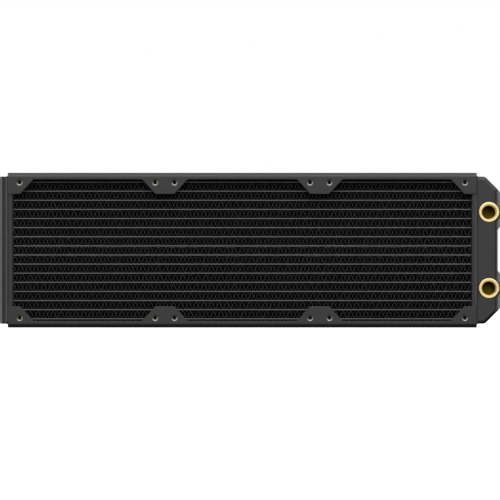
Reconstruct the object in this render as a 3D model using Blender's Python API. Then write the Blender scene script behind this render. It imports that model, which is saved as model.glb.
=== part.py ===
"""Slim liquid cooling radiator for three 120 mm fans: a soldered core of flat tubes and folded fins
between two steel side channels, with a return tank at one end and a port tank at the other.

Metres, +Z up. The radiator stands on its lower side channel. X runs along the core, the fans and the
ports face -Y, and the origin is at the middle of the footprint.
"""
import math

import bmesh
import bpy
from mathutils import Vector

# Fans and overall size
FAN_COUNT = 3
FAN_PITCH = 0.120
FAN_HOLE_SPACING = 0.105
HEIGHT = 0.120
DEPTH = 0.030
END_MARGIN = 0.00175
GAP = 0.0003

# Side channels, folded from one sheet each
SHEET = 0.0012
BEND_RADIUS = 0.0033
LIP_DEPTH = 0.0052
TAB_DEPTH = 0.0165
TAB_SLANT = 0.0103
CORNER_TAB_TIP = 0.0097
MIDDLE_TAB_TIP = 0.0147
M3_TAP_RADIUS = 0.00125
CHANNEL_LENGTH = FAN_COUNT * FAN_PITCH + 2 * END_MARGIN
CHANNEL_HALF = CHANNEL_LENGTH / 2

# Core
TUBE_COUNT = 16
TUBE_PITCH = 0.00707
CORE_DROP = 0.0003
TUBE_THICKNESS = 0.0015
TUBE_WIDTH = 0.020
TUBE_WALL = 0.00025
CORE_HALF = 0.1778
FIN_SHEET = 0.0003
FIN_LEGS = 40

# Header plates, a shallow pan at each end of the core
HEADER_SHEET = 0.0012
HEADER_RIM = 0.0051
HEADER_WIDTH = 0.0258
HEADER_HEIGHT = 0.1112
TUBE_END = 0.0027

# Tanks
TANK_WALL = 0.0010
TANK_DEPTH = 0.0284
TANK_HEIGHT = 0.1142
TANK_EDGE = CHANNEL_HALF + GAP
RETURN_REACH = 0.00615
RETURN_ROUND = 0.0046
PORT_REACH = 0.01605
CORNER_CHAMFER = 0.0095
BULGE_HEIGHT = 0.0036
BULGE_CHORD = 0.026
BULGE_LOW = 0.0161
BULGE_HIGH = 0.0469
BULGE_ROOT = 0.0016
PARTITION_SHEET = 0.0010

# Ports, G1/4 female
PORT_SPACING = 0.059
PORT_X = 0.1912
EAR_RADIUS = 0.0092
INSERT_RADIUS = 0.00785
INSERT_LENGTH = 0.0090
THREAD_MINOR_RADIUS = 0.00572
THREAD_LENGTH = 0.0070
SHOULDER_RADIUS = 0.00505
MOUTH_RADIUS = 0.0066
MOUTH_DEPTH = 0.0008

# The core's middle, so that the whole object is centred on X = 0
LEFT_END = TANK_EDGE + RETURN_REACH
RIGHT_END = TANK_EDGE + PORT_REACH + BULGE_HEIGHT
CORE_X = (LEFT_END - RIGHT_END) / 2
MIDDLE = Vector((CORE_X, 0.0, HEIGHT / 2))


def clear_scene():
    for obj in list(bpy.data.objects):
        bpy.data.objects.remove(obj, do_unlink=True)


def material(name, colour, roughness, metallic):
    made = bpy.data.materials.new(name)
    made.use_nodes = True
    shader = made.node_tree.nodes["Principled BSDF"]
    shader.inputs["Base Color"].default_value = (*colour, 1.0)
    shader.inputs["Roughness"].default_value = roughness
    shader.inputs["Metallic"].default_value = metallic
    made.diffuse_color = (*colour, 1.0)
    return made


def add_object(name, mesh, look=None, place=MIDDLE, turn=(0.0, 0.0, 0.0)):
    obj = bpy.data.objects.new(name, mesh)
    bpy.context.scene.collection.objects.link(obj)
    obj.location = place
    obj.rotation_euler = turn
    if look and not mesh.materials:
        mesh.materials.append(look)
    return obj


def mesh_from(bm, name, smooth=False):
    mesh = bpy.data.meshes.new(name)
    bm.to_mesh(mesh)
    bm.free()
    if smooth:
        mesh.shade_smooth()
        mesh.set_sharp_from_angle(angle=math.radians(30))
    return mesh


def solidify(obj, thickness, offset=-1.0):
    shell = obj.modifiers.new("sheet", "SOLIDIFY")
    shell.thickness = thickness
    shell.offset = offset
    shell.use_even_offset = True


def arc(centre, radius, start, end, steps):
    """Points on an arc, in degrees, both ends included."""
    points = []
    for i in range(steps + 1):
        angle = math.radians(start + (end - start) * i / steps)
        points.append((centre[0] + radius * math.cos(angle), centre[1] + radius * math.sin(angle)))
    return points


def add_loop(bm, points):
    """A closed loop of vertices and edges through 3-D points."""
    verts = [bm.verts.new(p) for p in points]
    for a, b in zip(verts, verts[1:] + verts[:1]):
        if not bm.edges.get((a, b)):
            bm.edges.new((a, b))
    return verts


def fill(bm, loops):
    """Faces between an outer loop and the holes inside it."""
    edges = []
    for verts in loops:
        edges += [bm.edges.get((a, b)) for a, b in zip(verts, verts[1:] + verts[:1])]
    bmesh.ops.triangle_fill(bm, edges=edges, use_beauty=True)


def face_outward(bm, direction):
    """Makes the sheet's normals agree, and the faces that look most along direction look along it."""
    bmesh.ops.recalc_face_normals(bm, faces=bm.faces[:])
    best = max(bm.faces, key=lambda f: abs(f.normal.dot(direction)) * f.calc_area())
    if best.normal.dot(direction) < 0:
        bmesh.ops.reverse_faces(bm, faces=bm.faces[:])


# ---------------------------------------------------------------- side channels


def flange_edge():
    """The flange's free edge from left to right: x, and depth below the channel's outer face."""
    corner = CHANNEL_HALF - CORNER_TAB_TIP
    middle = MIDDLE_TAB_TIP / 2
    points = [(-CHANNEL_HALF, TAB_DEPTH), (-corner, TAB_DEPTH), (-corner + TAB_SLANT, LIP_DEPTH)]
    for i in range(1, FAN_COUNT):
        x = (i - FAN_COUNT / 2) * FAN_PITCH
        points += [(x - middle - TAB_SLANT, LIP_DEPTH), (x - middle, TAB_DEPTH)]
        points += [(x + middle, TAB_DEPTH), (x + middle + TAB_SLANT, LIP_DEPTH)]
    points += [(corner - TAB_SLANT, LIP_DEPTH), (corner, TAB_DEPTH), (CHANNEL_HALF, TAB_DEPTH)]
    return points


def fan_hole_positions():
    half = FAN_HOLE_SPACING / 2
    centres = [(i - (FAN_COUNT - 1) / 2) * FAN_PITCH for i in range(FAN_COUNT)]
    return [c + side * half for c in centres for side in (-1, 1)]


def channel_mesh():
    """The outer skin of the upper channel: web, two bends, two flanges with tabs and tapped holes."""
    bm = bmesh.new()
    top = HEIGHT / 2
    bend_steps = 4
    hole_steps = 12
    web_rows = []
    for side in (-1, 1):
        rows = []
        for i in range(bend_steps + 1):
            angle = math.pi / 2 * i / bend_steps
            y = side * (DEPTH / 2 - BEND_RADIUS + BEND_RADIUS * math.sin(angle))
            z = top - BEND_RADIUS + BEND_RADIUS * math.cos(angle)
            rows.append([bm.verts.new((x, y, z)) for x in (-CHANNEL_HALF, CHANNEL_HALF)])
        for a, b in zip(rows, rows[1:]):
            bm.faces.new((a[0], a[1], b[1], b[0]))
        web_rows.append(rows[0])
        left, right = rows[-1]
        y = side * DEPTH / 2
        free = [bm.verts.new((x, y, top - depth)) for x, depth in flange_edge()]
        outline = [right, left] + free
        for a, b in zip(outline, outline[1:] + outline[:1]):
            if not bm.edges.get((a, b)):
                bm.edges.new((a, b))
        loops = [outline]
        for x in fan_hole_positions():
            ring = arc((x, FAN_HOLE_SPACING / 2), M3_TAP_RADIUS, 0, 360 - 360 / hole_steps, hole_steps - 1)
            loops.append(add_loop(bm, [(px, y, pz) for px, pz in ring]))
        fill(bm, loops)
    front, back = web_rows
    bm.faces.new((front[0], front[1], back[1], back[0]))
    face_outward(bm, Vector((0, 0, 1)))
    return mesh_from(bm, "side_channel", smooth=True)


def make_channels(paint):
    mesh = channel_mesh()
    top = add_object("top_side_channel", mesh, paint)
    bottom = add_object("bottom_side_channel", mesh, paint, turn=(math.pi, 0.0, 0.0))
    for channel in (top, bottom):
        solidify(channel, SHEET)


# ---------------------------------------------------------------- core


def stadium(width, thickness, steps=4):
    """A flat tube's section in Y and Z: straight sides and round noses."""
    radius = thickness / 2
    straight = width / 2 - radius
    return arc((straight, 0), radius, -90, 90, steps) + arc((-straight, 0), radius, 90, 270, steps)


def tube_heights():
    return [(i - (TUBE_COUNT - 1) / 2) * TUBE_PITCH - CORE_DROP for i in range(TUBE_COUNT)]


def tube_mesh():
    """The tube's outer skin, open at both ends."""
    bm = bmesh.new()
    half = CORE_HALF + TUBE_END
    for x in (-half, half):
        add_loop(bm, [(x, y, z) for y, z in stadium(TUBE_WIDTH, TUBE_THICKNESS)])
    bmesh.ops.bridge_loops(bm, edges=bm.edges[:])
    bmesh.ops.recalc_face_normals(bm, faces=bm.faces[:])
    top = max(bm.faces, key=lambda f: f.calc_center_median().z)
    if top.normal.z < 0:
        bmesh.ops.reverse_faces(bm, faces=bm.faces[:])
    return mesh_from(bm, "flat_tube", smooth=True)


def make_tubes(paint):
    mesh = tube_mesh()
    for i, z in enumerate(reversed(tube_heights())):
        tube = add_object(f"flat_tube_{i + 1:02d}", mesh, paint, MIDDLE + Vector((0, 0, z)))
        solidify(tube, TUBE_WALL)


def fin_mesh(name, height):
    """A folded strip, drawn with wider folds than the real foil."""
    bm = bmesh.new()
    half = CORE_HALF - GAP
    run = 2 * half / FIN_LEGS
    slope = math.atan2(height, run)
    middle_half = height / 2 - FIN_SHEET / 2 / math.cos(slope)
    previous = None
    for i in range(FIN_LEGS + 1):
        x = -half + run * i
        z = middle_half if i % 2 else -middle_half
        row = [bm.verts.new((x, y, z)) for y in (-TUBE_WIDTH / 2, TUBE_WIDTH / 2)]
        if previous:
            bm.faces.new((previous[0], row[0], row[1], previous[1]))
        previous = row
    return mesh_from(bm, name)


def make_fins(paint):
    edge = TUBE_THICKNESS / 2
    web = HEIGHT / 2 - SHEET
    floors = [-web] + [z + edge for z in tube_heights()]
    ceilings = [z - edge for z in tube_heights()] + [web]
    meshes = {}
    for i, (floor, ceiling) in enumerate(zip(reversed(floors), reversed(ceilings))):
        height = round(ceiling - floor - 2 * GAP, 6)
        if height not in meshes:
            meshes[height] = fin_mesh("fin_strip", height)
        middle = (floor + ceiling) / 2
        strip = add_object(f"fin_strip_{i + 1:02d}", meshes[height], paint, MIDDLE + Vector((0, 0, middle)))
        solidify(strip, FIN_SHEET, offset=0.0)


# ---------------------------------------------------------------- header plates


def header_mesh():
    """The pan's outer skin: a slotted plate on the core's side, and a rim into the tank."""
    bm = bmesh.new()
    y, z = HEADER_WIDTH / 2, HEADER_HEIGHT / 2
    corners = [(-y, -z), (y, -z), (y, z), (-y, z)]
    plate = add_loop(bm, [(0, cy, cz) for cy, cz in corners])
    loops = [plate]
    for height in tube_heights():
        slot = stadium(TUBE_WIDTH + 2 * GAP, TUBE_THICKNESS + 2 * GAP)
        loops.append(add_loop(bm, [(0, sy, height + sz) for sy, sz in slot]))
    fill(bm, loops)
    rim = [bm.verts.new((HEADER_RIM, cy, cz)) for cy, cz in corners]
    for i in range(4):
        j = (i + 1) % 4
        bm.faces.new((plate[i], plate[j], rim[j], rim[i]))
    face_outward(bm, Vector((-1, 0, 0)))
    return mesh_from(bm, "header_plate")


def make_headers(paint):
    mesh = header_mesh()
    out = Vector((CORE_HALF, 0, 0))
    port_end = add_object("port_header_plate", mesh, paint, MIDDLE + out)
    return_end = add_object("return_header_plate", mesh, paint, MIDDLE - out, (0.0, 0.0, math.pi))
    for header in (port_end, return_end):
        solidify(header, HEADER_SHEET)


# ---------------------------------------------------------------- tanks


def prism(outline, depth, name):
    """A closed solid: an outline in X and Z, along Y."""
    bm = bmesh.new()
    front = [bm.verts.new((x, -depth / 2, z)) for x, z in outline]
    face = bm.faces.new(front)
    made = bmesh.ops.extrude_face_region(bm, geom=[face])
    moved = [v for v in made["geom"] if isinstance(v, bmesh.types.BMVert)]
    bmesh.ops.translate(bm, vec=(0, depth, 0), verts=moved)
    bmesh.ops.recalc_face_normals(bm, faces=bm.faces[:])
    return mesh_from(bm, name, smooth=True)


def port_tank_outline(inset):
    """The tank seen from the front, from its open edge round: chamfers, and an ear round each port."""
    edge = TANK_EDGE if inset == 0 else TANK_EDGE - TANK_WALL
    side = TANK_EDGE + PORT_REACH - inset
    high = TANK_HEIGHT / 2 - inset
    chamfer = CORNER_CHAMFER - inset * (2 - math.sqrt(2))
    radius = EAR_RADIUS - inset
    port = PORT_SPACING / 2
    swing = math.degrees(math.acos((side - PORT_X) / radius))
    points = [(edge, -high), (side - chamfer, -high), (side, -high + chamfer)]
    for z in (-port, port):
        points += arc((PORT_X, z), radius, -swing, swing, 8)
    points += [(side, high - chamfer), (side - chamfer, high), (edge, high)]
    return points


def bulge_mesh(inset, name):
    """The two pressed bulges outside the ports, with ends at 45 degrees, as closed solids."""
    bm = bmesh.new()
    side = TANK_EDGE + PORT_REACH
    root = side - BULGE_ROOT
    half_chord = BULGE_CHORD / 2
    curve = (half_chord**2 + BULGE_HEIGHT**2) / (2 * BULGE_HEIGHT)
    swing = math.degrees(math.asin(half_chord / curve))
    centre = side + BULGE_HEIGHT - curve
    section = arc((centre, 0), curve - inset, -swing, swing, 8)
    section = [(root, section[0][1])] + section + [(root, section[-1][1])]
    for mirror in (-1, 1):
        lower = []
        upper = []
        for x, y in section:
            rise = x - side + inset * math.sqrt(2)
            lower.append(bm.verts.new((x, y, mirror * (BULGE_LOW + rise))))
            upper.append(bm.verts.new((x, y, mirror * (BULGE_HIGH - rise))))
        bm.faces.new(lower)
        bm.faces.new(upper)
        for i in range(len(section)):
            j = (i + 1) % len(section)
            bm.faces.new((lower[i], lower[j], upper[j], upper[i]))
    bmesh.ops.recalc_face_normals(bm, faces=bm.faces[:])
    return mesh_from(bm, name, smooth=True)


def bore_mesh():
    """Round cutters through the tank's front wall, one for each port insert."""
    bm = bmesh.new()
    radius = INSERT_RADIUS + GAP
    for side in (-1, 1):
        ring = arc((PORT_X, side * PORT_SPACING / 2), radius, 0, 360 - 360 / 32, 31)
        front = [bm.verts.new((x, -TANK_DEPTH / 2 - TANK_WALL, z)) for x, z in ring]
        face = bm.faces.new(front)
        made = bmesh.ops.extrude_face_region(bm, geom=[face])
        moved = [v for v in made["geom"] if isinstance(v, bmesh.types.BMVert)]
        bmesh.ops.translate(bm, vec=(0, 3 * TANK_WALL, 0), verts=moved)
    bmesh.ops.recalc_face_normals(bm, faces=bm.faces[:])
    return mesh_from(bm, "port_bores", smooth=True)


def boolean(obj, operation, mesh):
    cutter = add_object("cut_" + mesh.name, mesh)
    cutter.hide_render = True
    cutter.display_type = "WIRE"
    step = obj.modifiers.new(mesh.name, "BOOLEAN")
    step.operation = operation
    step.solver = "EXACT"
    step.object = cutter


def make_port_tank(paint):
    shell = prism(port_tank_outline(0), TANK_DEPTH, "port_tank")
    tank = add_object("port_tank", shell, paint)
    cavity = prism(port_tank_outline(TANK_WALL), TANK_DEPTH - 2 * TANK_WALL, "tank_cavity")
    boolean(tank, "UNION", bulge_mesh(0, "bulges"))
    boolean(tank, "DIFFERENCE", cavity)
    boolean(tank, "DIFFERENCE", bulge_mesh(TANK_WALL, "bulge_cavities"))
    boolean(tank, "DIFFERENCE", bore_mesh())


def make_partition(brass):
    """A wall at mid height, stepped to fit inside the header's rim and then the tank."""
    bm = bmesh.new()
    start = CORE_HALF + HEADER_SHEET + GAP
    step = CORE_HALF + HEADER_RIM + GAP
    end = TANK_EDGE + PORT_REACH - TANK_WALL - GAP
    narrow = HEADER_WIDTH / 2 - HEADER_SHEET - GAP
    wide = TANK_DEPTH / 2 - TANK_WALL - GAP
    half = [(start, narrow), (step, narrow), (step, wide), (end, wide)]
    outline = half + [(x, -y) for x, y in reversed(half)]
    face = bm.faces.new([bm.verts.new((x, y, 0)) for x, y in outline])
    if face.normal.z < 0:
        face.normal_flip()
    mesh = mesh_from(bm, "port_tank_partition")
    solidify(add_object("port_tank_partition", mesh, brass), PARTITION_SHEET, offset=0.0)


def make_return_tank(paint):
    """A shallow cap with rounded outer edges, open towards the core."""
    bm = bmesh.new()
    depth = TANK_DEPTH / 2
    flat = RETURN_REACH - RETURN_ROUND
    section = [(0, -depth)] + arc((flat, -depth + RETURN_ROUND), RETURN_ROUND, -90, 0, 5)
    section += arc((flat, depth - RETURN_ROUND), RETURN_ROUND, 0, 90, 5) + [(0, depth)]
    edge = -TANK_EDGE
    low, high = [
        [bm.verts.new((edge - x, y, z)) for x, y in section]
        for z in (-TANK_HEIGHT / 2, TANK_HEIGHT / 2)
    ]
    bm.faces.new(low)
    bm.faces.new(high)
    for i in range(len(section) - 1):
        bm.faces.new((low[i], low[i + 1], high[i + 1], high[i]))
    face_outward(bm, Vector((-1, 0, 0)))
    solidify(add_object("return_tank", mesh_from(bm, "return_tank", smooth=True), paint), TANK_WALL)


# ---------------------------------------------------------------- ports


def insert_mesh():
    """A turned bush: seal face, countersunk mouth, tapped bore, and a shoulder at its inner end."""
    bm = bmesh.new()
    front = -DEPTH / 2
    profile = [
        (MOUTH_RADIUS, front),
        (INSERT_RADIUS, front),
        (INSERT_RADIUS, front + INSERT_LENGTH),
        (SHOULDER_RADIUS, front + INSERT_LENGTH),
        (SHOULDER_RADIUS, front + THREAD_LENGTH),
        (THREAD_MINOR_RADIUS, front + THREAD_LENGTH),
        (THREAD_MINOR_RADIUS, front + MOUTH_DEPTH),
    ]
    loop = add_loop(bm, [(r, y, 0) for r, y in profile])
    bmesh.ops.spin(
        bm,
        geom=loop + bm.edges[:],
        axis=(0, 1, 0),
        cent=(0, 0, 0),
        angle=2 * math.pi,
        steps=32,
        use_duplicate=False,
    )
    bmesh.ops.remove_doubles(bm, verts=bm.verts[:], dist=1e-6)
    bmesh.ops.recalc_face_normals(bm, faces=bm.faces[:])
    return mesh_from(bm, "port_insert", smooth=True)


def make_ports(brass):
    mesh = insert_mesh()
    for name, side in (("inlet_port_insert", 1), ("outlet_port_insert", -1)):
        add_object(name, mesh, brass, MIDDLE + Vector((PORT_X, 0, side * PORT_SPACING / 2)))


def main():
    clear_scene()
    paint = material("black_paint", (0.046, 0.046, 0.047), 0.5, 0.0)
    tube_paint = material("tube_black", (0.07, 0.07, 0.07), 0.45, 0.0)
    fin_paint = material("fin_black", (0.015, 0.015, 0.015), 0.6, 0.0)
    brass = material("brass", (0.68, 0.53, 0.23), 0.25, 1.0)
    make_channels(paint)
    make_tubes(tube_paint)
    make_fins(fin_paint)
    make_headers(paint)
    make_port_tank(paint)
    make_partition(brass)
    make_return_tank(paint)
    make_ports(brass)


main()
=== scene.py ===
"""Looks of the slim liquid cooling radiator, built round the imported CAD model.

Metres, +Z up, in the CAD model's frame. Sizes come from the CAD nodes' boxes where the frame has them,
and the rest are the named values below.
"""
import math
import bmesh
import bpy
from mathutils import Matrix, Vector


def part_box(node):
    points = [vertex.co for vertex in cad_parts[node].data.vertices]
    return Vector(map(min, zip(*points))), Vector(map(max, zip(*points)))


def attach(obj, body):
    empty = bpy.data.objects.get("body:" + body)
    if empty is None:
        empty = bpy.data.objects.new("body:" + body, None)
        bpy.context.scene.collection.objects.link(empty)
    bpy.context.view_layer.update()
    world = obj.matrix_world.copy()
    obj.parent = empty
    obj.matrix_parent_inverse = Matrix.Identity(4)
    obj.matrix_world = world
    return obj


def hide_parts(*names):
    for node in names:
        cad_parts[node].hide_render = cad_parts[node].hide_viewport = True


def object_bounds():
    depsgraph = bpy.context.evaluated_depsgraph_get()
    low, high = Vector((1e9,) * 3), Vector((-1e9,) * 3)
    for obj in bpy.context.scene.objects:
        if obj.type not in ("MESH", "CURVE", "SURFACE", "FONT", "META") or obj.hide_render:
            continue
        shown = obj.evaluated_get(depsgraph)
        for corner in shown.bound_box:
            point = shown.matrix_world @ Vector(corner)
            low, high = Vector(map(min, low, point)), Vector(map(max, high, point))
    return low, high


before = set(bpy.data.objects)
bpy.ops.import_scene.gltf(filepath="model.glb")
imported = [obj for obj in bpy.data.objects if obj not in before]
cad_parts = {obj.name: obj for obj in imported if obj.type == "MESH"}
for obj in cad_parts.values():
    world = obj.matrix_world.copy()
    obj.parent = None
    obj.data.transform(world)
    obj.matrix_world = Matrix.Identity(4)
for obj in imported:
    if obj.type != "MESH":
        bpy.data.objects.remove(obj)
cad_low, cad_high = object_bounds()

# ---------------------------------------------------------------- sizes from the frame

top_low, top_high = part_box("top_side_channel")
base_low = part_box("bottom_side_channel")[0]
header_low, header_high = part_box("port_header_plate")
return_low, return_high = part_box("return_tank")
port_low, port_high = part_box("port_tank")
inlet_low, inlet_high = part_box("inlet_port_insert")
outlet_low, outlet_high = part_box("outlet_port_insert")
tube_low, tube_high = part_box("flat_tube_01")
last_tube_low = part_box("flat_tube_16")[0]

HEIGHT = top_high.z - base_low.z
DEPTH = top_high.y - top_low.y
CHANNEL_HALF = (top_high.x - top_low.x) / 2
MIDDLE = Vector(((top_low.x + top_high.x) / 2, 0.0, (base_low.z + top_high.z) / 2))
TAB_DEPTH = top_high.z - top_low.z
TUBE_COUNT = 16
TUBE_THICKNESS = tube_high.z - tube_low.z
TUBE_WIDTH = tube_high.y - tube_low.y
TUBE_HALF = (tube_high.x - tube_low.x) / 2
TUBE_PITCH = (tube_low.z - last_tube_low.z) / (TUBE_COUNT - 1)
CORE_HALF = header_low.x - MIDDLE.x
HEADER_RIM = header_high.x - header_low.x
HEADER_WIDTH = header_high.y - header_low.y
HEADER_HEIGHT = header_high.z - header_low.z
TANK_DEPTH = port_high.y - port_low.y
TANK_HEIGHT = port_high.z - port_low.z
PORT_TANK_EDGE = port_low.x - MIDDLE.x
RETURN_REACH = return_high.x - return_low.x
PORT_X = (inlet_low.x + inlet_high.x) / 2 - MIDDLE.x
PORT_Z = (inlet_low.z + inlet_high.z) / 2 - MIDDLE.z
INSERT_RADIUS = (inlet_high.z - inlet_low.z) / 2
INSERT_LENGTH = inlet_high.y - inlet_low.y

# ---------------------------------------------------------------- sizes of the finer shapes

FAN_PITCH = 0.120
FAN_HOLE_SPACING = 0.105
SHEET = 0.0012
BEND_RADIUS = 0.0033
BEND_LENGTH = BEND_RADIUS * math.pi / 2
WEB_HALF = DEPTH / 2 - BEND_RADIUS
LIP_DEPTH = 0.0052
TAB_SLANT = 0.0103
CORNER_TAB_TIP = 0.0097
MIDDLE_TAB_TIP = 0.0147
SHEET_EDGE = 0.00028
TAB_CORNER = 0.0007

M3_MAJOR = 0.0015
M3_MINOR = 0.00125
M3_PITCH = 0.0005
TAP_MOUTH = 0.00228
TAP_NECK = 0.0026

TUBE_WALL = 0.00025
NOSE_SHARE = 0.28
FIN_FOIL = 0.00022
FIN_WAVE = 0.00592
FIN_CREST = 0.0004
FIN_DEPTH = 0.0196
FIN_BANK = 0.0012
FIN_BANK_GAP = 0.0001
FIN_CLEARANCE = 0.0003
FIN_END_GAP = 0.0002
LOUVRE_TILT = math.radians(4)

HEADER_SHEET = 0.0011
HEADER_PRESS = 0.0010
HEADER_CORNER = 0.0022
SOLDER_PROUD = 0.00085

TANK_FILLET = 0.0028
TANK_WALL = 0.0010
TANK_CORNER = 0.0024
TANK_EDGE_LAP = 0.0002
CAVITY_FILLET = 0.0009
CUT_OVERRUN = 0.002
CORNER_CHAMFER = 0.0100
CHAMFER_ROUND = 0.0015
ROLLED_PROUD = 0.00055
EAR_RADIUS = 0.0092
EAR_INSET = 0.00025
EAR_FILLET = 0.0009
EAR_CAVITY_FILLET = 0.0004
PORT_HOLE_DEPTH = 0.003
BULGE_HEIGHT = 0.0036
BULGE_CHORD = 0.026
BULGE_LOW = 0.0161
BULGE_HIGH = 0.0469
BULGE_ROOT = 0.0030
RETURN_ROUND = 0.0046
RETURN_FILLET = 0.0006
RETURN_CAVITY_FILLET = 0.0005
END_CAP_GROOVE = ((0.0, 0.0007), (0.0004, 0.0008), (0.0004, 0.00125), (0.0, 0.00135))

G14_MAJOR = 0.00658
G14_MINOR = 0.00572
G14_PITCH = 0.001337
INSERT_SOFT = 0.0005
INSERT_SINK = 0.00045
INSERT_GAP = 0.0003
THREAD_END = 0.0066
RELIEF_END = 0.0071
SHOULDER_RADIUS = 0.00505
PORT_SIDE = port_high.x - MIDDLE.x - BULGE_HEIGHT

# ---------------------------------------------------------------- mesh tools


def finish_mesh(bm, name, sharp_angle=38.0):
    """Closes off a bmesh as a smooth-shaded mesh with its normals out."""
    bmesh.ops.recalc_face_normals(bm, faces=bm.faces[:])
    mesh = bpy.data.meshes.new(name)
    bm.to_mesh(mesh)
    bm.free()
    mesh.shade_smooth()
    mesh.set_sharp_from_angle(angle=math.radians(sharp_angle))
    return mesh


def add_piece(name, mesh, looks, place=MIDDLE, turn=(0.0, 0.0, 0.0), weighted=True):
    piece = bpy.data.objects.new(name, mesh)
    bpy.context.scene.collection.objects.link(piece)
    piece.location = place
    piece.rotation_euler = turn
    if not mesh.materials:
        for material in looks:
            mesh.materials.append(material)
    if weighted:
        shading = piece.modifiers.new("even shading", "WEIGHTED_NORMAL")
        shading.keep_sharp = True
    return piece


def settle(piece, slot, *nodes):
    """The piece stands for its CAD nodes and rides on the one body."""
    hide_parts(*nodes)
    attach(piece, "root")


def baked(piece):
    """The piece's mesh with its modifiers applied, as a new mesh."""
    graph = bpy.context.evaluated_depsgraph_get()
    return bpy.data.meshes.new_from_object(piece.evaluated_get(graph))


def arc(centre, radius, start, end, steps):
    points = []
    for i in range(steps + 1):
        angle = math.radians(start + (end - start) * i / steps)
        points.append((centre[0] + radius * math.cos(angle), centre[1] + radius * math.sin(angle)))
    return points


def circle(centre, radius, steps):
    return arc(centre, radius, 0, 360 - 360 / steps, steps - 1)


def inset(points, distance, closed=True):
    """The outline moved to its left by distance, with mitred corners."""
    moved = []
    count = len(points)
    for i in range(count):
        here = Vector(points[i])
        before = Vector(points[i - 1]) if closed or i else None
        after = Vector(points[(i + 1) % count]) if closed or i < count - 1 else None
        normals = []
        for a, b in ((before, here), (here, after)):
            if a is not None and b is not None:
                run = (b - a).normalized()
                normals.append(Vector((-run.y, run.x)))
        if len(normals) == 1:
            normals *= 2
        reach = 1 + normals[0].dot(normals[1])
        moved.append(tuple(here + (normals[0] + normals[1]) * (distance / reach)))
    return moved


def rounded(points, reach, steps=3):
    """An open outline with each inner corner rounded off from reach before it to reach after it."""
    result = [points[0]]
    for a, b, c in zip(points, points[1:], points[2:]):
        corner, before, after = Vector(b), Vector(a) - Vector(b), Vector(c) - Vector(b)
        start = corner + before.normalized() * reach
        end = corner + after.normalized() * reach
        for i in range(steps + 1):
            t = i / steps
            result.append(tuple(start * (1 - t) ** 2 + corner * (2 * t * (1 - t)) + end * t**2))
    return result + [points[-1]]


def new_loop(bm, points):
    return [bm.verts.new(p) for p in points]


def join_loops(bm, a, b, closed=True, material=0):
    """Quads between two loops of as many vertices."""
    count = len(a)
    for i in range(count if closed else count - 1):
        j = (i + 1) % count
        bm.faces.new((a[i], a[j], b[j], b[i])).material_index = material


def fill(bm, loops):
    """Faces between an outer loop and the holes inside it."""
    edges = []
    for verts in loops:
        for a, b in zip(verts, verts[1:] + verts[:1]):
            edges.append(bm.edges.get((a, b)) or bm.edges.new((a, b)))
    bmesh.ops.triangle_fill(bm, edges=edges, use_beauty=True)


def turned(profile, steps, threads=None):
    """A closed turned solid about Y from a loop of (radius, y) points. threads(radius, y, turn) may move
    a radius."""
    bm = bmesh.new()
    rings = []
    for radius, y in profile:
        ring = []
        for i in range(steps):
            angle = 2 * math.pi * i / steps
            r = threads(radius, y, i / steps) if threads else radius
            ring.append(bm.verts.new((r * math.cos(angle), y, r * math.sin(angle))))
        rings.append(ring)
    for a, b in zip(rings, rings[1:] + rings[:1]):
        join_loops(bm, a, b)
    return bm


# ---------------------------------------------------------------- materials

# the fins' black at the core's two faces and the near black of painted shade deep inside, and how far from
# the middle of the core one gives way to the other
FIN_PAINTED_SHADE = (0.002, 0.002, 0.002)
FIN_FACE_BLACK = (0.062, 0.062, 0.061)
FIN_PAINTED_SHADE_END = 0.0070
FIN_FACE_BLACK_START = 0.0088
# the brass in the port tank by height, painted darker above each port and lighter below it as painted shade
# and light: 0.5 is at a port, and a whole 1 is the ports' spacing
BRASS_PAINTED_SHADE_BY_HEIGHT = ((0.415, (0.42, 0.3, 0.012)), (0.5, (0.14, 0.1, 0.006)), (0.57, (0.006, 0.005, 0.0005)))


def look(name, colour, roughness, metallic=0.0, specular=0.5):
    made = bpy.data.materials.new(name)
    made.use_nodes = True
    shader = made.node_tree.nodes["Principled BSDF"]
    shader.inputs["Base Color"].default_value = (*colour, 1.0)
    shader.inputs["Roughness"].default_value = roughness
    shader.inputs["Metallic"].default_value = metallic
    shader.inputs["Specular IOR Level"].default_value = specular
    return made, made.node_tree, shader


def add_node(tree, kind, **inputs):
    node = tree.nodes.new(kind)
    for socket, value in inputs.items():
        node.inputs[socket.replace("_", " ")].default_value = value
    return node


def compute(tree, operation, *values):
    """The result of a Math node on sockets and numbers."""
    node = tree.nodes.new("ShaderNodeMath")
    node.operation = operation
    for socket, value in zip(node.inputs, values):
        if isinstance(value, float):
            socket.default_value = value
        else:
            tree.links.new(value, socket)
    return node.outputs["Value"]


def directions(tree, space):
    """The X, Y and Z sockets of a place in one of the texture spaces."""
    place = add_node(tree, "ShaderNodeTexCoord")
    split = add_node(tree, "ShaderNodeSeparateXYZ")
    tree.links.new(place.outputs[space], split.inputs["Vector"])
    return split.outputs


def colour_ramp(tree, source, levels):
    """A colour by a value from 0 to 1, through the (value, colour) stops in levels."""
    ramp = tree.nodes.new("ShaderNodeValToRGB")
    tree.links.new(source, ramp.inputs["Fac"])
    stops = ramp.color_ramp.elements
    for stop, (place, colour) in zip((stops[0], stops[1]), (levels[0], levels[-1])):
        stop.position, stop.color = place, (*colour, 1.0)
    for place, colour in levels[1:-1]:
        stops.new(place).color = (*colour, 1.0)
    return ramp.outputs["Color"]


def noise(tree, size, detail=2.0, stretch=None):
    """Noise whose features are about size metres across, in the object's own space."""
    place = add_node(tree, "ShaderNodeTexCoord")
    texture = add_node(tree, "ShaderNodeTexNoise", Scale=1 / size, Detail=detail)
    source = place.outputs["Object"]
    if stretch:
        mapping = add_node(tree, "ShaderNodeMapping", Scale=stretch)
        tree.links.new(source, mapping.inputs["Vector"])
        source = mapping.outputs["Vector"]
    tree.links.new(source, texture.inputs["Vector"])
    return texture


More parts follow.
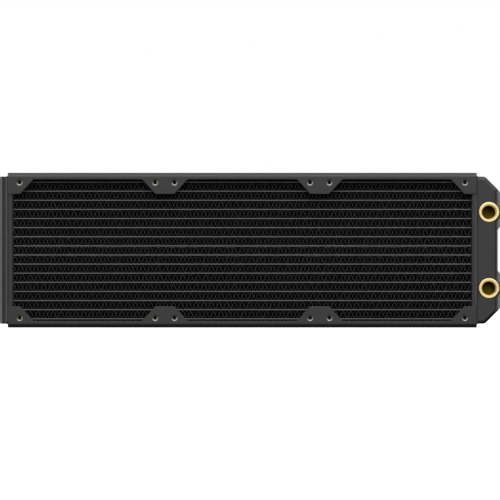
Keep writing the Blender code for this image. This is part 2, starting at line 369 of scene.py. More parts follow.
def vary_roughness(tree, shader, texture, low, high):
    spread = add_node(tree, "ShaderNodeMapRange", From_Min=0.3, From_Max=0.7, To_Min=low, To_Max=high)
    tree.links.new(texture.outputs["Fac"], spread.inputs["Value"])
    tree.links.new(spread.outputs["Result"], shader.inputs["Roughness"])


def vary_colour(tree, shader, texture, dark, light):
    colour = colour_ramp(tree, texture.outputs["Fac"], ((0.35, dark), (0.65, light)))
    tree.links.new(colour, shader.inputs["Base Color"])


def add_bump(tree, shader, texture, depth, strength=1.0, before=None):
    bump = add_node(tree, "ShaderNodeBump", Strength=strength, Distance=depth)
    tree.links.new(texture.outputs["Fac"], bump.inputs["Height"])
    if before:
        tree.links.new(before.outputs["Normal"], bump.inputs["Normal"])
    tree.links.new(bump.outputs["Normal"], shader.inputs["Normal"])
    return bump


def powder_coat():
    """Satin black powder coat: fine orange peel, with slight cloudiness in its sheen."""
    made, tree, shader = look("black powder coat", (0.0145, 0.0145, 0.0145), 0.33)
    fine = noise(tree, 0.00028, 3.0)
    broad = noise(tree, 0.006, 2.0)
    vary_colour(tree, shader, broad, (0.0137, 0.0137, 0.0139), (0.0153, 0.0153, 0.0153))
    vary_roughness(tree, shader, broad, 0.3, 0.36)
    peel = add_bump(tree, shader, fine, 0.000012, 0.5)
    swell = noise(tree, 0.0012, 1.0)
    add_bump(tree, shader, swell, 0.00001, 0.4, before=peel)
    return made


def core_paint(name, level, roughness, specular):
    """Thin sprayed black on the core, of one level, with streaks in its colour and gloss."""
    made, tree, shader = look(name, (level, level, level), roughness, specular=specular)
    fine = noise(tree, 0.0004, 3.0)
    streaks = noise(tree, 0.004, 3.0, stretch=(0.25, 1.0, 1.0))
    vary_colour(tree, shader, streaks, (level * 0.9,) * 3, (level * 1.1,) * 3)
    vary_roughness(tree, shader, streaks, roughness - 0.05, roughness + 0.05)
    add_bump(tree, shader, fine, 0.00001, 0.5)
    return made


def fin_paint():
    """Matt black on the foil at the two faces of the core, and painted near black deep inside as painted
    shade.
    """
    made, tree, shader = look("fin black paint", (0.02, 0.02, 0.02), 0.7, specular=0.0)
    # painted shade: the foil's black fades to near black with its distance into the core
    depth = compute(tree, "ABSOLUTE", directions(tree, "Object")["Y"])
    sprayed = add_node(tree, "ShaderNodeMapRange", From_Min=FIN_PAINTED_SHADE_END, From_Max=FIN_FACE_BLACK_START)
    tree.links.new(depth, sprayed.inputs["Value"])
    dust = noise(tree, 0.0009, 3.0)
    spread = tree.nodes.new("ShaderNodeMix")
    spread.data_type = "RGBA"
    spread.inputs["A"].default_value = (*FIN_PAINTED_SHADE, 1.0)
    spread.inputs["B"].default_value = (*FIN_FACE_BLACK, 1.0)
    tree.links.new(sprayed.outputs["Result"], spread.inputs["Factor"])
    mottle = add_node(tree, "ShaderNodeMapRange", From_Min=0.3, From_Max=0.7, To_Min=0.8, To_Max=1.2)
    tree.links.new(dust.outputs["Fac"], mottle.inputs["Value"])
    scaled = tree.nodes.new("ShaderNodeVectorMath")
    scaled.operation = "SCALE"
    tree.links.new(spread.outputs["Result"], scaled.inputs[0])
    tree.links.new(mottle.outputs["Result"], scaled.inputs["Scale"])
    tree.links.new(scaled.outputs["Vector"], shader.inputs["Base Color"])
    vary_roughness(tree, shader, dust, 0.62, 0.78)
    add_bump(tree, shader, dust, 0.00002, 0.4)
    return made


def turned_brass():
    """Bare turned brass: fine tool rings about the bore, and a slight patina."""
    made, tree, shader = look("turned brass", (0.9, 0.72, 0.36), 0.24, 1.0)
    place = add_node(tree, "ShaderNodeTexCoord")
    rings = tree.nodes.new("ShaderNodeTexWave")
    rings.wave_type = "RINGS"
    rings.rings_direction = "Y"
    rings.inputs["Scale"].default_value = 1400.0
    rings.inputs["Distortion"].default_value = 0.6
    rings.inputs["Detail"].default_value = 1.0
    tree.links.new(place.outputs["Object"], rings.inputs["Vector"])
    patina = noise(tree, 0.0022, 4.0)
    vary_colour(tree, shader, patina, (0.89, 0.69, 0.32), (0.94, 0.77, 0.40))
    vary_roughness(tree, shader, patina, 0.28, 0.36)
    add_bump(tree, shader, rings, 0.000004, 0.12)
    return made


def raw_brass():
    """Unpainted sheet brass inside the tanks: dull, and painted darker above each port than below it, as
    painted shade and light for light falling in through the port from above.
    """
    made, tree, shader = look("raw sheet brass", (0.15, 0.11, 0.008), 0.5, 1.0)
    # painted shade and light: darker above each port and lighter below it, as if lit from above through the
    # port
    share = compute(tree, "MULTIPLY_ADD", directions(tree, "Object")["Z"], 0.5 / PORT_Z, 1.0)
    colour = colour_ramp(tree, compute(tree, "FRACT", share), BRASS_PAINTED_SHADE_BY_HEIGHT)
    tree.links.new(colour, shader.inputs["Base Color"])
    stain = noise(tree, 0.004, 4.0)
    vary_roughness(tree, shader, stain, 0.4, 0.55)
    add_bump(tree, shader, stain, 0.00002, 0.3)
    return made


def bare_steel():
    """Cut steel in the tapped holes, where the tap has taken the paint off."""
    made, tree, shader = look("bare cut steel", (0.35, 0.34, 0.3), 0.42, 1.0)
    scratches = noise(tree, 0.0003, 3.0, stretch=(1.0, 6.0, 1.0))
    vary_colour(tree, shader, scratches, (0.3, 0.29, 0.25), (0.4, 0.39, 0.34))
    vary_roughness(tree, shader, scratches, 0.38, 0.5)
    add_bump(tree, shader, scratches, 0.00001, 0.5)
    return made


# ---------------------------------------------------------------- side channels


def flange_depth_to_across(depth):
    """How far from the web's centre line, across the flat sheet, a depth on the flange is."""
    return WEB_HALF + BEND_LENGTH + depth - BEND_RADIUS


def fold(x, s, n):
    """From the flat sheet to the folded channel: s across the sheet, n below its outer face."""
    side = 1 if s >= 0 else -1
    across = abs(s)
    top = HEIGHT / 2
    if across <= WEB_HALF:
        return (x, s, top - n)
    if across < WEB_HALF + BEND_LENGTH:
        angle = (across - WEB_HALF) / BEND_RADIUS
        reach = BEND_RADIUS - n
        return (x, side * (WEB_HALF + reach * math.sin(angle)), top - BEND_RADIUS + reach * math.cos(angle))
    return (x, side * (DEPTH / 2 - n), top - BEND_RADIUS - (across - WEB_HALF - BEND_LENGTH))


def flange_edge():
    """The flange's free edge from left to right: x, and depth below the channel's outer face."""
    corner = CHANNEL_HALF - CORNER_TAB_TIP
    middle = MIDDLE_TAB_TIP / 2
    points = [(-CHANNEL_HALF, TAB_DEPTH), (-corner, TAB_DEPTH), (-corner + TAB_SLANT, LIP_DEPTH)]
    for x in (-FAN_PITCH / 2, FAN_PITCH / 2):
        points += [(x - middle - TAB_SLANT, LIP_DEPTH), (x - middle, TAB_DEPTH)]
        points += [(x + middle, TAB_DEPTH), (x + middle + TAB_SLANT, LIP_DEPTH)]
    points += [(corner - TAB_SLANT, LIP_DEPTH), (corner, TAB_DEPTH), (CHANNEL_HALF, TAB_DEPTH)]
    return rounded(points, TAB_CORNER)


def tapped_hole_profile():
    """(radius, depth below the outer face, thread depth, bare metal) down the hole and round its neck."""
    rows = [
        (TAP_MOUTH + 0.0005, 0.0, 0, False),
        (TAP_MOUTH + 0.0002, 0.00002, 0, False),
        (TAP_MOUTH, 0.0001, 0, True),
        (M3_MAJOR + 0.0001, 0.0005, 0, True),
        (M3_MAJOR, 0.00065, 0, True),
        (M3_MAJOR, 0.0007, 0, False),
    ]
    steps = 16
    start, end = 0.0008, TAP_NECK - 0.0001
    for i in range(steps + 1):
        rows.append((M3_MINOR, start + (end - start) * i / steps, M3_MAJOR - M3_MINOR, False))
    rows += [
        (M3_MAJOR, TAP_NECK, 0, False),
        (M3_MAJOR + 0.0006, TAP_NECK, 0, False),
        (M3_MAJOR + 0.0007, TAP_NECK - 0.0001, 0, False),
        (M3_MAJOR + 0.00075, SHEET + 0.0004, 0, False),
        (M3_MAJOR + 0.0012, SHEET, 0, False),
    ]
    return rows


def saw(value):
    """A thread's ridge: 0 to 1 and back over each whole number."""
    return 1 - abs(2 * (value % 1.0) - 1)


def tap_hole(bm, x, side):
    """A threaded, countersunk hole through one flange. Returns its loops on the outer and inner faces."""
    steps = 24
    centre = flange_depth_to_across((HEIGHT - FAN_HOLE_SPACING) / 2)
    loops = []
    was_bare = False
    for radius, depth, thread, bare in tapped_hole_profile():
        loop = []
        for i in range(steps):
            angle = 2 * math.pi * i / steps
            r = radius + thread * saw(depth / M3_PITCH + i / steps)
            s = side * (centre + r * math.sin(angle))
            loop.append(bm.verts.new(fold(x + r * math.cos(angle), s, depth)))
        if loops:
            join_loops(bm, loops[-1], loop, material=1 if bare and was_bare else 0)
        was_bare = bare
        loops.append(loop)
    return loops[0], loops[-1]


def channel_mesh():
    """The folded side channel: two skins joined by a rounded sheet edge, with tapped holes in the tabs."""
    bm = bmesh.new()
    bend_steps = 10
    half_rows = [WEB_HALF + BEND_LENGTH * i / bend_steps for i in range(bend_steps + 1)]
    rows = [-s for s in reversed(half_rows)] + half_rows
    edge = [(x, flange_depth_to_across(depth)) for x, depth in flange_edge()]
    outline = [(x, -s) for x, s in edge]
    outline += [(CHANNEL_HALF, s) for s in rows]
    outline += list(reversed(edge))
    outline += [(-CHANNEL_HALF, s) for s in reversed(rows)]
    rim = [(SHEET_EDGE - SHEET_EDGE * math.sin(a), SHEET_EDGE - SHEET_EDGE * math.cos(a))
           for a in (0, math.pi / 6, math.pi / 3, math.pi / 2)]
    rim += [(inward, SHEET - depth) for inward, depth in reversed(rim)]
    loops = [new_loop(bm, [fold(x, s, depth) for x, s in inset(outline, inward)]) for inward, depth in rim]
    for a, b in zip(loops, loops[1:]):
        join_loops(bm, a, b)
    spots = [c + end * FAN_HOLE_SPACING / 2 for c in (-FAN_PITCH, 0.0, FAN_PITCH) for end in (-1, 1)]
    holes = {side: [tap_hole(bm, x, side) for x in spots] for side in (-1, 1)}
    free, ends = len(edge), len(rows)
    for skin, loop in ((0, loops[0]), (1, loops[-1])):
        right = loop[free:free + ends]
        left = list(reversed(loop[2 * free + ends:]))
        for i in range(ends - 1):
            bm.faces.new((right[i], right[i + 1], left[i + 1], left[i]))
        front = loop[:free] + [right[0], left[0]]
        back = [right[-1]] + loop[free + ends:2 * free + ends] + [left[-1]]
        fill(bm, [front] + [hole[skin] for hole in holes[-1]])
        fill(bm, [back] + [hole[skin] for hole in holes[1]])
    return finish_mesh(bm, "side_channel")


def make_channels(coat, steel):
    mesh = channel_mesh()
    upper = add_piece("upper_channel", mesh, [coat, steel])
    lower = add_piece("lower_channel", mesh, [coat, steel], turn=(math.pi, 0.0, 0.0))
    settle(upper, "black_paint", "top_side_channel")
    settle(lower, "black_paint", "bottom_side_channel")


# ---------------------------------------------------------------- tubes and fins


def stadium(width, thickness, steps):
    radius = thickness / 2
    straight = width / 2 - radius
    return arc((straight, 0), radius, -90, 90, steps) + arc((-straight, 0), radius, 90, 270, steps)


def tube_height(index):
    """Height of a tube's middle above the radiator's, counted from the top."""
    return (tube_low.z + tube_high.z) / 2 - MIDDLE.z - index * TUBE_PITCH


def tube_mesh():
    """A flat tube with round noses, drawn in a little at its open ends. Its flat sides take the second
    material, near black as painted shade."""
    bm = bmesh.new()
    outer = stadium(TUBE_WIDTH, TUBE_THICKNESS, 10)
    inner = inset(outer, TUBE_WALL)
    inside_end = TUBE_HALF - TUBE_WALL
    stations = (-TUBE_HALF, -inside_end, -CORE_HALF, 0.0, CORE_HALF, inside_end, TUBE_HALF)
    squeeze = (TUBE_WALL / 3, 0.0, 0.0, 0.0, 0.0, 0.0, TUBE_WALL / 3)
    skins = []
    for x, inward in zip(stations, squeeze):
        skins.append(new_loop(bm, [(x, y, z) for y, z in inset(outer, inward)]))
    bores = [new_loop(bm, [(x, y, z) for y, z in inner]) for x in (stations[0], stations[-1])]
    for a, b in zip(skins, skins[1:]):
        join_loops(bm, a, b)
    join_loops(bm, skins[0], bores[0])
    join_loops(bm, bores[0], bores[1])
    join_loops(bm, skins[-1], bores[1])
    for face in bm.faces:
        # the nose's middle band keeps the lighter paint, and the faces above and below it take the near
        # black of painted shade
        face.material_index = int(abs(face.calc_center_median().z) > NOSE_SHARE * TUBE_THICKNESS)
    return finish_mesh(bm, "flat_tube")


def make_tubes():
    """The noses are glossier than the powder coat. The sides are matt and painted near black, a painted
    shade for the light that the fins keep from them."""
    looks = [core_paint("tube nose paint", 0.062, 0.36, 0.5), core_paint("tube side painted shade", 0.005, 0.7, 0.0)]
    mesh = tube_mesh()
    for i in range(TUBE_COUNT):
        place = MIDDLE + Vector((0, 0, tube_height(i)))
        tube = add_piece(f"coolant_tube_{i + 1:02d}", mesh, looks, place)
        settle(tube, "tube_black", f"flat_tube_{i + 1:02d}")


def fin_bank(bm, start, end, height, phase, shift, twist):
    """One bank of a folded foil strip between two depths. phase is where its first fold falls in a wave,
    shift is how far it slews sideways over its depth, and twist opens each leg like a louvre."""
    run = FIN_WAVE / 2 - FIN_CREST
    limit = CORE_HALF + abs(shift) + FIN_WAVE
    x = FIN_WAVE * (phase - math.ceil(limit / FIN_WAVE))
    level = height / 2 - FIN_FOIL / 2
    middle_y = (start + end) / 2
    half_depth = (end - start) / 2
    row = [bm.verts.new((x, start, level)), bm.verts.new((x + shift, end, level))]
    while x < limit:
        along = Vector((run, 0.0, -2 * level))
        across = Vector((2 * level, 0.0, run)).normalized()
        # the louvre opens just after one fold and closes just before the next
        for share, turn in ((0.05, 0.0), (0.15, twist), (0.85, twist), (0.95, 0.0), (1.0, 0.0)):
            spot = Vector((x, middle_y, level)) + along * share
            pair = []
            for side in (-1, 1):
                slew = Vector(((side + 1) / 2 * shift, side * half_depth * math.cos(turn), 0.0))
                pair.append(bm.verts.new(spot + slew + across * (side * half_depth * math.sin(turn))))
            bm.faces.new((row[0], row[1], pair[1], pair[0]))
            row = pair
        x += run + FIN_CREST
        level = -level
        crest = [bm.verts.new((x, start, level)), bm.verts.new((x + shift, end, level))]
        bm.faces.new((row[0], row[1], crest[1], crest[0]))
        row = crest


def fin_mesh(name, height, phase):
    """A folded, louvred strip: two shallow banks at each face with their folds half a wave apart,
    and a deep slewed bank between them that closes the view through the core."""
    bm = bmesh.new()
    face = FIN_DEPTH / 2
    inner = face - 2 * FIN_BANK
    gap = FIN_BANK_GAP
    for start, end, offset, shift, twist in (
        (-face, -face + FIN_BANK - gap, 0.0, 0.0, LOUVRE_TILT),
        (-face + FIN_BANK, -inner - gap, 0.5, 0.0, -LOUVRE_TILT),
        (-inner, inner, 0.25, FIN_WAVE, 0.0),
        (inner + gap, face - FIN_BANK, 0.5, 0.0, LOUVRE_TILT),
        (face - FIN_BANK + gap, face, 0.0, 0.0, -LOUVRE_TILT),
    ):
        fin_bank(bm, start, end, height, phase + offset, shift, twist)
    limit = CORE_HALF - FIN_END_GAP
    for side in (-1, 1):
        everything = bm.verts[:] + bm.edges[:] + bm.faces[:]
        bmesh.ops.bisect_plane(bm, geom=everything, plane_co=(side * limit, 0, 0), plane_no=(side, 0, 0),
                               clear_outer=True)
    bmesh.ops.recalc_face_normals(bm, faces=bm.faces[:])
    sheet = bpy.data.meshes.new(name + "_sheet")
    bm.to_mesh(sheet)
    bm.free()
    foil = bpy.data.objects.new(name + "_sheet", sheet)
    bpy.context.scene.collection.objects.link(foil)
    shell = foil.modifiers.new("foil", "SOLIDIFY")
    shell.thickness = FIN_FOIL
    shell.offset = 0.0
    made = baked(foil)
    made.name = name
    bpy.data.objects.remove(foil)
    return made


def make_fins(paint):
    meshes = {}
    for i in range(TUBE_COUNT + 1):
        low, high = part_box(f"fin_strip_{i + 1:02d}")
        place = Vector((MIDDLE.x, 0.0, (low.z + high.z) / 2))
        height = round(high.z - low.z + 2 * FIN_CLEARANCE, 5)
        key = (height, i % 2)
        if key not in meshes:
            meshes[key] = fin_mesh(f"folded_fin_{len(meshes)}", height, 0.25 * (i % 2))
        strip = add_piece(f"louvred_fin_{i + 1:02d}", meshes[key], [paint], place, weighted=False)
        settle(strip, "fin_black", f"fin_strip_{i + 1:02d}")


# ---------------------------------------------------------------- header plates


def corner_box(half_width, half_height, radius, steps=5):
    """A rectangle with round corners, counterclockwise."""
    y, z = half_width - radius, half_height - radius
    points = []
    for cy, cz, start in ((y, -z, -90), (y, z, 0), (-y, z, 90), (-y, -z, 180)):
        points += arc((cy, cz), radius, start, start + 90, steps)
    return points


def header_mesh():
    """A pressed pan: its slotted plate faces the core, with a solder collar at each tube and a bead
    along its seam with the tank."""
    bm = bmesh.new()
    sheet = HEADER_SHEET
    outline = corner_box(HEADER_WIDTH / 2, HEADER_HEIGHT / 2, HEADER_CORNER)
    section = [(HEADER_PRESS * (1 - math.sin(a)), HEADER_PRESS * (1 - math.cos(a))) for a in
               (0, math.pi / 8, math.pi / 4, 3 * math.pi / 8, math.pi / 2)]
    seam = PORT_TANK_EDGE - CORE_HALF
    section += [(0.0, seam - 0.0012), (-0.00008, seam - 0.0011), (-0.00078, seam - 0.0004)]
    section += [(-SOLDER_PROUD, seam - 0.0003), (-SOLDER_PROUD, seam - 0.00003), (0.0, seam - 0.00003)]
    section += [(0.0, HEADER_RIM - 0.0002), (0.0002, HEADER_RIM)]
    section += [(sheet - 0.0002, HEADER_RIM), (sheet, HEADER_RIM - 0.0002), (sheet, sheet)]
    loops = [new_loop(bm, [(x, y, z) for y, z in inset(outline, inward)]) for inward, x in section]
    for a, b in zip(loops, loops[1:]):
        join_loops(bm, a, b)
    near_holes, far_holes = [], []
    for i in range(TUBE_COUNT):
        slot = stadium(TUBE_WIDTH, TUBE_THICKNESS, 6)
        rows = []
        # the solder collar narrows toward the core, and then the slot's wall runs back through the sheet
        for outward, x in ((0.0006, 0.0), (0.00025, -0.00012), (0.00006, -0.00026), (0.00005, sheet)):
            rows.append(new_loop(bm, [(x, y, z + tube_height(i)) for y, z in inset(slot, -outward)]))
        for a, b in zip(rows, rows[1:]):
            join_loops(bm, a, b)
        near_holes.append(rows[0])
        far_holes.append(rows[-1])
    fill(bm, [loops[0]] + near_holes)
    fill(bm, [loops[-1]] + far_holes)
    return finish_mesh(bm, "header_pan")


def make_headers(coat):
    mesh = header_mesh()
    reach = Vector((CORE_HALF, 0, 0))
    port_end = add_piece("port_header_pan", mesh, [coat], MIDDLE + reach)
    return_end = add_piece("return_header_pan", mesh, [coat], MIDDLE - reach, (0.0, 0.0, math.pi))
    settle(port_end, "black_paint", "port_header_plate")
    settle(return_end, "black_paint", "return_header_plate")


# ---------------------------------------------------------------- tanks


def pressed_solid(path, half, fillet, place_point, groove=(), steps=6):
    """A closed solid with rounded edges. path(inward) is the outline that far inside the side walls, from
    one end of the open side round to the other, and the third direction runs from -half to +half."""
    bm = bmesh.new()
    levels = []
    for i in range(steps, -1, -1):
        angle = math.pi / 2 * i / steps
        levels.append((fillet * (1 - math.cos(angle)), -half + fillet * (1 - math.sin(angle))))
    levels += [(inward, -half + along) for inward, along in groove]
    levels += [(inward, -w) for inward, w in reversed(levels)]
    loops = [new_loop(bm, [place_point(u, v, w) for u, v in path(inward)]) for inward, w in levels]
    for a, b in zip(loops, loops[1:]):
        join_loops(bm, a, b, closed=False)
    bm.faces.new(loops[0])
    bm.faces.new(list(reversed(loops[-1])))
    rim = [loop[0] for loop in loops] + [loop[-1] for loop in reversed(loops)]
    bm.faces.new(rim)
    return bm


def rolled_edge(x_edge, way):
    """The thickened edge round a tank's open side. way is the sign of x into the tank."""
    bm = bmesh.new()
    outline = corner_box(TANK_DEPTH / 2, TANK_HEIGHT / 2, TANK_CORNER)
    rows = [(0.0003, 0.0), (-0.0002, 0.0), (-0.00045, 0.00015), (-ROLLED_PROUD, 0.0004)]
    rows += [(0.0, 0.0004 + ROLLED_PROUD), (0.0003, 0.0007 + ROLLED_PROUD)]
    loops = []
    for inward, along in rows:
        loops.append(new_loop(bm, [(x_edge + way * along, y, z) for y, z in inset(outline, inward)]))
    for a, b in zip(loops, loops[1:]):
        join_loops(bm, a, b)
    bm.faces.new(loops[0])
    bm.faces.new(loops[-1])
    return bm


def boolean(piece, operation, bm, name, material=0):
    """Cuts or joins a solid, and leaves the piece holding the result. material is the new faces' slot."""
    for face in bm.faces:
        face.material_index = material
    cutter = bpy.data.objects.new(name, finish_mesh(bm, name))
    for material_used in piece.data.materials:
        cutter.data.materials.append(material_used)
    bpy.context.scene.collection.objects.link(cutter)
    cutter.location = piece.location
    bpy.context.view_layer.update()
    step = piece.modifiers.new(name, "BOOLEAN")
    step.operation = operation
    step.solver = "EXACT"
    step.object = cutter
    made = baked(piece)
    piece.modifiers.clear()
    piece.data = made
    bpy.data.objects.remove(cutter)


def finish_tank(tank, node):
    """Shading for a tank whose edges come from booleans."""
    tank.data.shade_smooth()
    tank.data.set_sharp_from_angle(angle=math.radians(30))
    tank.modifiers.new("even shading", "WEIGHTED_NORMAL").keep_sharp = True
    settle(tank, "black_paint", node)


def port_path(inward, edge=PORT_TANK_EDGE):
    """The port tank seen from the front, from its open edge below, round to its open edge above."""
    side = PORT_SIDE - inward
    high = TANK_HEIGHT / 2 - inward
    chamfer = CORNER_CHAMFER - inward * (2 - math.sqrt(2))
    points = [(edge, -high), (side - chamfer, -high), (side, -high + chamfer)]
    points += [(side, high - chamfer), (side - chamfer, high), (edge, high)]
    return rounded(points, CHAMFER_ROUND - inward * (math.sqrt(2) - 1))


def bulge_solid(inward, mirror):
    """The pressed bulge outside one port: round along the depth, with ends at 45 degrees."""
    bm = bmesh.new()
    half_chord = BULGE_CHORD / 2
    curve = (half_chord**2 + BULGE_HEIGHT**2) / (2 * BULGE_HEIGHT)
    swing = math.degrees(math.asin(half_chord / curve))
    root = PORT_SIDE - BULGE_ROOT
    section = arc((PORT_SIDE + BULGE_HEIGHT - curve, 0), curve - inward, -swing, swing, 24)
    section = [(root, section[0][1])] + section + [(root, section[-1][1])]
    lower, upper = [], []
    for x, y in section:
        rise = x - PORT_SIDE + inward * math.sqrt(2)
        lower.append(bm.verts.new((x, y, mirror * (BULGE_LOW + rise))))
        upper.append(bm.verts.new((x, y, mirror * (BULGE_HIGH - rise))))
    bm.faces.new(lower)
    bm.faces.new(upper)
    join_loops(bm, lower, upper)
    return bm


def solid_cylinder(radius, front, back, mirror, soft):
    """A round solid on a port's axis, rounded at its front and back edges."""
    bm = bmesh.new()
    stations = [(0.0, front + soft), (0.0, back - soft)]
    if soft:
        bend = [(soft * (1 - math.sin(a)), soft * (1 - math.cos(a))) for a in (0, 0.39, 0.79, 1.18)]
        stations = [(i, front + d) for i, d in bend] + stations + [(i, back - d) for i, d in reversed(bend)]
    loops = []
    for inward, y in stations:
        ring = circle((PORT_X, mirror * PORT_Z), radius - inward, 64)
        loops.append(new_loop(bm, [(x, y, z) for x, z in ring]))
    for a, b in zip(loops, loops[1:]):
        join_loops(bm, a, b)
    bm.faces.new(loops[0])
    bm.faces.new(loops[-1])
    return bm


def port_cavity_path(inward):
    return port_path(TANK_WALL + inward, PORT_TANK_EDGE - CUT_OVERRUN)


def make_port_tank(coat, inside_metal):
    front = -TANK_DEPTH / 2
    ear_front = front + EAR_INSET
    ear_back = -front - EAR_INSET
    hole_back = front + PORT_HOLE_DEPTH

    def point(u, v, w):
        return u, w, v

    body = pressed_solid(port_path, TANK_DEPTH / 2, TANK_FILLET, point)
    mesh = finish_mesh(body, "port_end_tank")
    tank = add_piece("port_end_tank", mesh, [coat, inside_metal], weighted=False)
    boolean(tank, "UNION", rolled_edge(PORT_TANK_EDGE - TANK_EDGE_LAP, 1), "rolled_edge")
    for mirror in (-1, 1):
        boolean(tank, "UNION", bulge_solid(0.0, mirror), "bulge")
        boolean(tank, "UNION", solid_cylinder(EAR_RADIUS, ear_front, ear_back, mirror, EAR_FILLET), "ear")
    cavity = pressed_solid(port_cavity_path, TANK_DEPTH / 2 - TANK_WALL, CAVITY_FILLET, point)
    boolean(tank, "DIFFERENCE", cavity, "cavity", 1)
    for mirror in (-1, 1):
        boolean(tank, "DIFFERENCE", bulge_solid(TANK_WALL, mirror), "bulge_cavity", 1)
        room = solid_cylinder(EAR_RADIUS - TANK_WALL, ear_front + TANK_WALL, ear_back - TANK_WALL, mirror,
                              EAR_CAVITY_FILLET)
        boolean(tank, "DIFFERENCE", room, "ear_cavity", 1)
        hole = solid_cylinder(INSERT_RADIUS + INSERT_GAP, front - CUT_OVERRUN, hole_back, mirror, 0.0)
        boolean(tank, "DIFFERENCE", hole, "port_hole")
    finish_tank(tank, "port_tank")


def return_path(inward, edge=PORT_TANK_EDGE):
    """The return tank's section from above, from its open edge in front round to the one behind."""
    depth = TANK_DEPTH / 2 - inward
    turn = RETURN_ROUND - inward
    centre = PORT_TANK_EDGE + RETURN_REACH - RETURN_ROUND
    points = [(edge, -depth)] + arc((centre, -depth + turn), turn, -90, 0, 10)
    return points + arc((centre, depth - turn), turn, 0, 90, 10) + [(edge, depth)]


def return_cavity_path(inward):
    return return_path(TANK_WALL + inward, PORT_TANK_EDGE - CUT_OVERRUN)


def make_return_tank(coat, inside_metal):
    half = TANK_HEIGHT / 2

    def point(u, v, w):
        return -u, v, w

    body = pressed_solid(return_path, half, RETURN_FILLET, point, END_CAP_GROOVE)
    mesh = finish_mesh(body, "return_end_tank")
    tank = add_piece("return_end_tank", mesh, [coat, inside_metal], weighted=False)
    boolean(tank, "UNION", rolled_edge(-PORT_TANK_EDGE + TANK_EDGE_LAP, -1), "rolled_edge")
    cavity = pressed_solid(return_cavity_path, half - TANK_WALL, RETURN_CAVITY_FILLET, point)
    boolean(tank, "DIFFERENCE", cavity, "cavity", 1)
    finish_tank(tank, "return_tank")


# ---------------------------------------------------------------- port inserts


def insert_mesh():
    """A turned bush with a real G1/4 thread behind a flat ring face, whose inner and outer edges are both
    rounded, and a shoulder at its inner end."""
    front = -DEPTH / 2
    back = front + INSERT_LENGTH
    soft, sink = INSERT_SOFT, INSERT_SINK
    thread_start, thread_end = front + sink, front + THREAD_END
    relief_end = front + RELIEF_END
    profile = [(INSERT_RADIUS, back)]
    profile += [(INSERT_RADIUS - soft + r, front + soft - y) for r, y in arc((0, 0), soft, 0, 90, 5)]
    # the ring's face is dished by a hair, and then turns into the bore
    profile.append((G14_MINOR + sink, front + 0.00004))
    profile += [(G14_MINOR + sink - r, front + sink - y) for r, y in arc((0, 0), sink, 72, 0, 4)]
    rows = 40
    profile += [(G14_MINOR, thread_start + (thread_end - thread_start) * i / rows) for i in range(rows + 1)]
    profile += [(G14_MAJOR, thread_end + 0.0001), (G14_MAJOR, relief_end)]
    profile += [(SHOULDER_RADIUS + 0.00025, relief_end), (SHOULDER_RADIUS, relief_end + 0.0002)]
    profile += [(SHOULDER_RADIUS, back - 0.0002), (SHOULDER_RADIUS + 0.0002, back)]

    def threads(radius, y, turn):
        if radius != G14_MINOR:
            return radius
        fade = max(0.0, min(1.0, (y - thread_start) / G14_PITCH, (thread_end - y) / G14_PITCH + 0.4))
        return radius + (G14_MAJOR - G14_MINOR) * saw(y / G14_PITCH + turn) * fade

    return finish_mesh(turned(profile, 72, threads), "port_bush", 30.0)


def make_ports(brass):
    mesh = insert_mesh()
    for name, node, low, high in (("inlet_bush", "inlet_port_insert", inlet_low, inlet_high),
                                  ("outlet_bush", "outlet_port_insert", outlet_low, outlet_high)):
        place = Vector(((low.x + high.x) / 2, 0.0, (low.z + high.z) / 2))
        bush = add_piece(name, mesh, [brass], place)
        settle(bush, "brass", node)


# ---------------------------------------------------------------- studio

FLOOR_HALF = 6.0
FLOOR_GAP = 0.0002
FLOOR_GLOW = 0.8
# the room's brightness by the direction's height, and by how far behind the radiator the direction points
ROOM_BY_HEIGHT = ((-1.0, 0.26), (-0.5, 0.36), (-0.2, 0.55), (0.0, 1.0), (1.0, 1.0))
ROOM_BY_DEPTH = ((-1.0, 0.5), (-0.85, 0.4), (-0.6, 0.2), (-0.1, 0.25), (0.2, 0.4), (1.0, 0.45))


def make_stage():
    """A pale floor just below the radiator. It glows a little, so it stays pale in a dim room."""
    mesh = bpy.data.meshes.new("floor")
    corners = [(x * FLOOR_HALF, y * FLOOR_HALF, 0) for x, y in ((-1, -1), (1, -1), (1, 1), (-1, 1))]
    mesh.from_pydata(corners, [], [(0, 1, 2, 3)])
    floor = bpy.data.objects.new("floor", mesh)
    bpy.context.scene.collection.objects.link(floor)
    pale, tree, shader = look("pale floor", (0.9, 0.9, 0.9), 0.8)
    cloud = noise(tree, 0.5, 2.0)
    vary_colour(tree, shader, cloud, (0.9, 0.9, 0.9), (0.92, 0.92, 0.92))
    shader.inputs["Emission Color"].default_value = (1.0, 1.0, 1.0, 1.0)
    shader.inputs["Emission Strength"].default_value = FLOOR_GLOW
    mesh.materials.append(pale)
    floor.location.z = cad_low.z - FLOOR_GAP
    floor.visible_diffuse = False
    floor.visible_glossy = False


def add_light(name, place, aim, size, power):
    lamp = bpy.data.lights.new(name, "AREA")
    lamp.shape = "RECTANGLE"
    lamp.size, lamp.size_y = size
    lamp.energy = power
    light = bpy.data.objects.new(name, lamp)
    bpy.context.scene.collection.objects.link(light)
    light.location = place
    light.rotation_euler = (Vector(aim) - Vector(place)).to_track_quat("-Z", "Y").to_euler()
    light.visible_camera = False
    return light


def level_ramp(tree, source, levels):
    """A brightness by one part of the direction, -1 to 1."""
    shift = add_node(tree, "ShaderNodeMapRange", From_Min=-1.0, From_Max=1.0)
    tree.links.new(source, shift.inputs["Value"])
    return colour_ramp(tree, shift.outputs["Result"], [((place + 1) / 2, (v, v, v)) for place, v in levels])


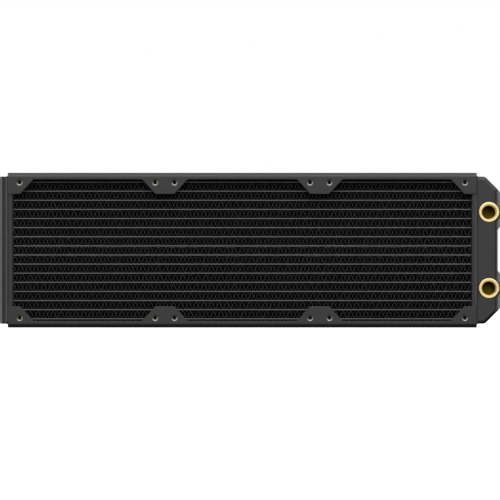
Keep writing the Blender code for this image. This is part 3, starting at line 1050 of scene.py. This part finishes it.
def make_world():
    """A dim studio room, darkest below and to the sides in front. The backdrop that the camera sees is
    white."""
    world = bpy.data.worlds.new("studio")
    world.use_nodes = True
    tree = world.node_tree
    room = tree.nodes["Background"]
    toward = directions(tree, "Generated")
    by_height = level_ramp(tree, toward["Z"], ROOM_BY_HEIGHT)
    by_depth = level_ramp(tree, toward["Y"], ROOM_BY_DEPTH)
    tree.links.new(compute(tree, "MULTIPLY", by_height, by_depth), room.inputs["Strength"])
    backdrop = add_node(tree, "ShaderNodeBackground", Strength=1.0)
    rays = add_node(tree, "ShaderNodeLightPath")
    mix = add_node(tree, "ShaderNodeMixShader")
    tree.links.new(rays.outputs["Is Camera Ray"], mix.inputs["Fac"])
    tree.links.new(room.outputs["Background"], mix.inputs[1])
    tree.links.new(backdrop.outputs["Background"], mix.inputs[2])
    tree.links.new(mix.outputs["Shader"], tree.nodes["World Output"].inputs["Surface"])
    room.inputs["Color"].default_value = backdrop.inputs["Color"].default_value = (1.0, 1.0, 1.0, 1.0)
    bpy.context.scene.world = world


def make_lights():
    """Softboxes two to three metres away: in front, overhead, above each end, and beside each end."""
    middle = tuple(MIDDLE)
    add_light("key softbox", (0.0, -1.58, 1.29), middle, (2.6, 1.65), 33)
    add_light("overhead softbox", (0.0, -0.2, 2.1), middle, (2.2, 1.8), 15)
    add_light("front fill", (0.0, -2.95, 0.15), middle, (1.6, 1.3), 4.0)
    for side, name in ((-1, "upper left softbox"), (1, "upper right softbox")):
        add_light(name, (side * 1.35, -0.35, 1.4), middle, (1.2, 1.2), 6.5)
    add_light("left rim strip", (-2.0, -0.08, 0.2), middle, (1.2, 1.6), 14.5)
    add_light("right rim strip", (1.92, 0.55, 0.2), middle, (1.8, 1.6), 14.5)
    make_world()


# the width in view at the radiator's front face, and where the camera stands from the middle of that face
VIEW_WIDTH = 0.38735
CAMERA_SIDE = 0.00597
CAMERA_RISE = 0.00015
CAMERA_DISTANCE = 4.2


def make_camera():
    data = bpy.data.cameras.new("camera")
    camera = bpy.data.objects.new("camera", data)
    bpy.context.scene.collection.objects.link(camera)
    data.sensor_width = 36.0
    data.lens = 36.0 * CAMERA_DISTANCE / VIEW_WIDTH
    data.clip_end = 100.0
    camera.location = (MIDDLE.x + CAMERA_SIDE, -DEPTH / 2 - CAMERA_DISTANCE, MIDDLE.z + CAMERA_RISE)
    camera.rotation_euler = (math.pi / 2, 0.0, 0.0)
    bpy.context.scene.camera = camera


def main():
    bpy.context.scene.view_settings.view_transform = "Standard"
    coat = powder_coat()
    brass = turned_brass()
    make_camera()
    make_stage()
    make_lights()
    make_channels(coat, bare_steel())
    make_tubes()
    make_fins(fin_paint())
    make_headers(coat)
    inside_metal = raw_brass()
    make_port_tank(coat, inside_metal)
    make_return_tank(coat, inside_metal)
    make_ports(brass)
    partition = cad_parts["port_tank_partition"]
    partition.data.materials.clear()
    partition.data.materials.append(inside_metal)


main()
